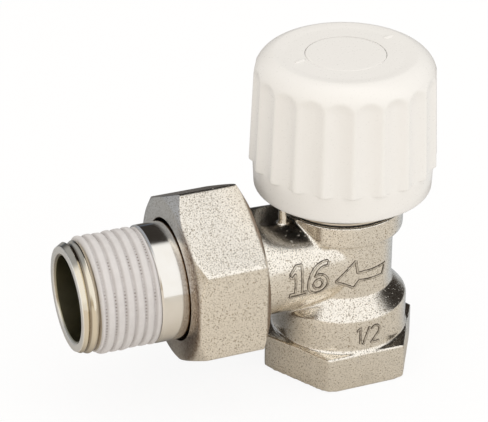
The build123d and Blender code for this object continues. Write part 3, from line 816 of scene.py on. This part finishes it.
def nut_surface():
    """A closed profile along the arm axis. Outside, the radius is the lesser of the hexagon's,
    apothem / cos(angle from the flat's middle), and the end cone's, with the edge between rounded."""
    angle = np.linspace(0, 2 * np.pi, nut_columns, endpoint=False)[None, :]
    from_flat = (angle + np.radians(nut_angle) + np.pi / 6) % (np.pi / 3) - np.pi / 6
    hexagon = nut_apothem / np.cos(from_flat)
    hexagon = smooth_least(hexagon, nut_corner - nut_corner_cut, nut_corner_round)
    x = np.linspace(nut_start, nut_end, nut_rows)[:, None]
    cone_rise = nut_corner - nut_cone_radius
    cone = np.minimum((x - nut_start) / nut_front_cone, (nut_end - x) / nut_back_cone)
    outer = smooth_least(hexagon, nut_cone_radius + cone_rise * cone, nut_edge_round)
    from_end = np.minimum(x - nut_start, nut_end - x)
    outer = outer - nut_end_break * np.clip(1 - from_end / nut_end_break_length, 0, 1) ** 2
    lip_x = nut_start + nut_lip
    hole_edge = (nut_start + nut_hole_break, nut_hole + nut_hole_break)
    inner = np.concatenate(
        [
            run((nut_end, nut_bore + nut_mouth), (nut_end - nut_mouth, nut_bore), 3),
            run((lip_x + 4, nut_bore), (lip_x, nut_bore), 3),
            run((lip_x, nut_hole), (hole_edge[0], nut_hole), 3),
            arc(hole_edge, (nut_hole_break, nut_hole_break), 270, 180, 6)[1:],
        ]
    )
    return np.concatenate(
        [
            along_arm(x + 0 * angle, outer, angle),
            along_arm(inner[:, :1] + 0 * angle, inner[:, 1:] + 0 * angle, angle),
        ]
    )


def nut_brown_and_shade(place):
    """Brown in grains on the front of the nut's end face, painted shade, dark brown, in its hole, and a
    painted shadow at its back end, where the arm leaves it.
    """
    x, y, z = (place.part(axis) for axis in "XYZ")
    up = z - arm_z * mm
    radius = (y * y + up * up).of("SQRT")
    end_face = 1.0 - x.rising((nut_start + 0.1) * mm, (nut_start + 0.7) * mm)
    front = (y * -1.0).rising(3 * mm, 10 * mm)
    # Painted shade: the hole turns near-black brown, and a painted shadow darkens the back end where the nut
    # meets the arm.
    hole = 1.0 - radius.rising((nut_hole + 0.05) * mm, (nut_hole + 0.2) * mm)
    back = x.rising((nut_end - 1.1) * mm, (nut_end - 0.6) * mm)
    grain = 0.2 + place.noise(2600.0, 2.0) * 1.1
    return place.maths("MAXIMUM", (end_face * front * grain).limited(), hole + back * 0.8)


nut = skin("union_nut_hexagon", [nut_surface()], loop=True, crease=40)
nut.data.materials.append(blasted_nickel("nut_nickel", nut_brown_and_shade))
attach(nut, "union_nut")
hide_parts("union_nut")

# Studio: a white floor, soft lamps overhead and in front, and a dome that only reflections see. It is
# dark behind to the right, so that upward-facing metal turns dark as it does before a dim room.
floor_half = 3.0
floor_drop = 0.00002
shadow_share = 0.14
dome_radius = 0.9


def floor_paint():
    """Pale paint. The camera sees it nearly white with a faint shadow, reflections see it shaded, pale in
    front and dark behind, with a painted shadow near the valve behind to the left, and light that scatters
    sees plain pale paint."""
    made = bpy.data.materials.new("floor_paint")
    made.use_nodes = True
    tree = made.node_tree
    tree.nodes.clear()
    start = Value(tree)
    camera_ray = start.node("ShaderNodeLightPath", {}, {}, "Is Camera Ray")
    glossy_ray = start.node("ShaderNodeLightPath", {}, {}, "Is Glossy Ray")
    place = start.node("ShaderNodeTexCoord", {}, {}, "Object")
    x, y = place.part("X"), place.part("Y")
    round_about = start.maths("ARCTAN2", x, y)
    behind = (round_about.of("ABSOLUTE") * -1.0).rising(-1.9, -1.15)
    left = (x * -1.0).rising(-0.03, 0.06)
    far = (x * x + y * y).of("SQRT").rising(0.045, 0.085)
    front = left.between((0.62, 0.602, 0.568, 1), (0.705, 0.67, 0.618, 1))
    # Painted shadow: behind to the left, the floor that reflections see is darker near the valve.
    back_left = far.between((0.17, 0.155, 0.14, 1), (0.34, 0.36, 0.39, 1))
    back_right = y.rising(0.05, 0.08).between((0.53, 0.57, 0.62, 1), (0.08, 0.07, 0.06, 1))
    back = left.between(back_right, back_left)
    tone = behind.between(front, back)
    paint = start.node("ShaderNodeBsdfDiffuse", {}, {"Color": (0.88, 0.87, 0.855, 1)})
    shaded = start.node("ShaderNodeBsdfDiffuse", {}, {"Color": tone})
    white = start.node("ShaderNodeEmission", {}, {"Color": (1, 1, 1, 1), "Strength": 1.02})
    seen = start.node("ShaderNodeMixShader", {}, {0: shadow_share, 1: white, 2: paint})
    other = start.node("ShaderNodeMixShader", {}, {0: glossy_ray, 1: paint, 2: shaded})
    both = start.node("ShaderNodeMixShader", {}, {0: camera_ray, 1: other, 2: seen})
    start.feed(tree.nodes.new("ShaderNodeOutputMaterial").inputs["Surface"], both)
    return made


def sheet_of(name, grid):
    """A plain open sheet from a grid of points in metres."""
    rows, columns = grid.shape[:2]
    corner = (np.arange(rows - 1)[:, None] * columns + np.arange(columns - 1)[None, :]).reshape(-1, 1)
    faces = corner + np.array([[0, 1, columns + 1, columns]])
    mesh = bpy.data.meshes.new(name)
    mesh.from_pydata(grid.reshape(-1, 3), [], faces)
    mesh.shade_smooth()
    made = add_object(name, mesh)
    return made


ticks = np.linspace(-floor_half, floor_half, 2)
across, away = np.meshgrid(ticks, ticks)
floor = sheet_of("studio_floor", np.stack([across, away, np.full_like(across, -floor_drop)], -1))
floor.data.materials.append(floor_paint())


def dome_paint():
    """Glow by direction: dark behind to the right, dim behind to the left, white elsewhere."""
    made = bpy.data.materials.new("studio_dome")
    made.use_nodes = True
    tree = made.node_tree
    tree.nodes.clear()
    place = Value(tree).node("ShaderNodeTexCoord", {}, {}, "Object")
    azimuth = place.maths("ARCTAN2", place.part("X"), place.part("Y"))
    height = place.part("Z") * (1 / dome_radius)
    dark = height.rising(0.06, 0.18).between((0.11, 0.13, 0.165, 1), (0.035, 0.031, 0.028, 1))
    dark = azimuth.rising(0.5, 0.8).between(dark, (0.035, 0.031, 0.028, 1))
    side = height.rising(0.08, 0.30).between((0.50, 0.43, 0.34, 1), (1, 1, 1, 1))
    side = azimuth.rising(-2.6, -2.0).between((1, 1, 1, 1), side)
    tone = azimuth.rising(-1.6, -1.0).between(side, (0.36, 0.38, 0.42, 1))
    tone = azimuth.rising(-0.35, -0.10).between(tone, dark)
    tone = azimuth.rising(1.75, 2.2).between(tone, (1, 1, 1, 1))
    tone = height.rising(0.915, 0.955).between(tone, (1, 1, 1, 1))
    glow = place.node("ShaderNodeEmission", {}, {"Color": tone})
    glow.feed(tree.nodes.new("ShaderNodeOutputMaterial").inputs["Surface"], glow)
    return made


dome_rise = np.radians(np.linspace(0, 90, 40))
dome_turn = np.radians(np.linspace(-180, 180, 121))
rise, turn = np.meshgrid(dome_rise, dome_turn, indexing="ij")
dome_grid = np.stack([np.cos(rise) * np.sin(turn), np.cos(rise) * np.cos(turn), np.sin(rise)], -1)
dome = sheet_of("studio_dome", dome_radius * dome_grid)
dome.data.materials.append(dome_paint())

# A black flag, a ring round the handle's foot that only reflections see, keeps the white rim out of the
# metal below it: painted shade in those reflections.
flag_height = wheel_foot + 0.3
flag_inner = 15.3
flag_outer = 17.6
flag_turn = np.radians(np.linspace(0, 360, 97))
reach, turn = np.meshgrid((flag_inner, flag_outer), flag_turn, indexing="ij")
flag_grid = np.stack([reach * np.cos(turn), reach * np.sin(turn), np.full_like(reach, flag_height)], -1)
flag = sheet_of("studio_flag", flag_grid * mm)
black = bpy.data.materials.new("black_cloth")
black.use_nodes = True
cloth = black.node_tree.nodes["Principled BSDF"].inputs
cloth["Base Color"].default_value = (0.01, 0.009, 0.008, 1)
cloth["Roughness"].default_value = 0.9
flag.data.materials.append(black)
for stage_piece in (dome, flag):
    stage_piece.visible_camera = False
    stage_piece.visible_diffuse = False
    stage_piece.visible_shadow = False
    stage_piece.visible_transmission = False


def lamp(name, place, target, size, power, colour):
    """A square soft lamp that faces its target."""
    light = bpy.data.lights.new(name, "AREA")
    light.size = size
    light.energy = power
    light.color = colour
    made = add_object(name, light)
    made.location = place
    made.rotation_euler = (Vector(target) - Vector(place)).to_track_quat("-Z", "Y").to_euler()
    made.visible_glossy = False


lamp("overhead_lamp", (0.10, -0.08, 0.62), (-0.02, 0, 0.03), 0.5, 0.66, (1.0, 1.0, 1.0))
lamp("front_right_lamp", (0.42, -0.46, 0.42), (-0.01, 0, 0.03), 0.35, 0.66, (0.97, 0.985, 1.0))
lamp("front_left_lamp", (-0.55, -0.42, 0.36), (-0.02, 0, 0.03), 0.4, 0.5, (1.0, 0.88, 0.74))

world = bpy.data.worlds.new("studio_world")
bpy.context.scene.world = world
world.use_nodes = True
world.node_tree.nodes.clear()
air = Value(world.node_tree)
sees_white = air.node("ShaderNodeLightPath", {}, {}, "Is Camera Ray")
for ray in ("Is Glossy Ray", "Is Transmission Ray"):
    sees_white = air.maths("MAXIMUM", sees_white, air.node("ShaderNodeLightPath", {}, {}, ray))
glow = air.node("ShaderNodeBackground", {}, {"Color": (1.0, 0.965, 0.92, 1), "Strength": 0.835})
white = air.node("ShaderNodeBackground", {}, {"Color": (1, 1, 1, 1), "Strength": 1.0})
sky = air.node("ShaderNodeMixShader", {}, {0: sees_white, 1: glow, 2: white})
air.feed(world.node_tree.nodes.new("ShaderNodeOutputWorld").inputs["Surface"], sky)

# Camera: it stands to the front left and looks down on the valve, as the photograph was taken. Its
# place, target, roll and lens come from a fit to the outlines.
camera_place = Vector((-150.32, -328.01, 228.44)) * mm
camera_target = Vector((-19.242, 0.0, 34.111)) * mm
camera_roll = np.radians(0.236)
lens = bpy.data.cameras.new("camera")
lens.sensor_fit = "HORIZONTAL"
lens.sensor_width = 36.0
lens.lens = 165.45
lens.clip_start = 0.01
camera = add_object("camera", lens)
facing = (camera_target - camera_place).to_track_quat("-Z", "Y").to_matrix().to_4x4()
roll = Matrix.Rotation(camera_roll, 4, "Z")
camera.matrix_world = Matrix.Translation(camera_place) @ facing @ roll
bpy.context.scene.camera = camera
bpy.context.scene.view_settings.view_transform = "Standard"
